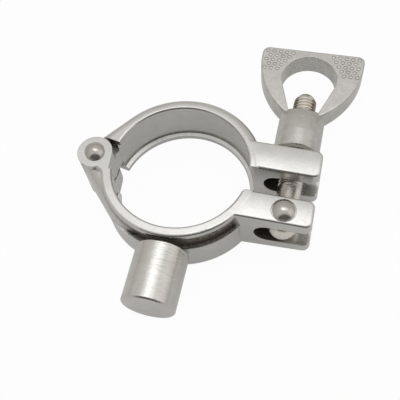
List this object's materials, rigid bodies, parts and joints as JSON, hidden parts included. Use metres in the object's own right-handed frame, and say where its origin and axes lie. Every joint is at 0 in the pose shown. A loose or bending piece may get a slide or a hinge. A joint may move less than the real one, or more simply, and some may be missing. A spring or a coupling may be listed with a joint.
{
  "type": "tube hanger clip",
  "caption": "Hinged ring clamp that holds a tube: two cast jaws on a pin, slotted lugs closed by a swing bolt and wing nut, and a plain side rod to hang it by.",
  "frame": {"origin": "centre of the tube seat, halfway across the width of the jaws", "axes": "+Z along the held tube, -X towards the hinge, +X towards the lugs, -Y along the hanger rod"},
  "size_m": [0.0892, 0.1048, 0.0234],
  "materials": {
    "cast_stainless": "vibratory polished investment casting, bright on the edges, rough in the recess",
    "turned_stainless": "satin turned bar",
    "polished_stainless": "polished domed rivet heads",
    "bolt_stainless": "plain bolt shank with a rolled thread",
    "wing_stainless": "satin shot-blasted casting"
  },
  "bodies": {
    "near_half": {"near_jaw": "cast_stainless", "hanger_rod": "turned_stainless", "hinge_pin": "polished_stainless", "eye_pin": "polished_stainless"},
    "far_half": {"far_jaw": "cast_stainless"},
    "swing_bolt": {"swing_bolt": "bolt_stainless"},
    "wing_nut": {"wing_nut": "wing_stainless"}
  },
  "joints": [
    {"name": "jaw_hinge", "type": "hinge", "parent": "near_half", "child": "far_half", "pos_m": [-0.0292, 0, 0], "axis": [0, 0, 1], "range_deg": [-6, 0.4]},
    {"name": "bolt_swing", "type": "hinge", "parent": "near_half", "child": "swing_bolt", "pos_m": [0.0357, -0.0103, 0], "axis": [0, 0, 1], "range_deg": [-135, 0]},
    {"name": "nut_spin", "type": "hinge", "parent": "swing_bolt", "child": "wing_nut", "pos_m": [0.0357, 0.02, 0], "axis": [0, 1, 0], "continuous": true}
  ]
}
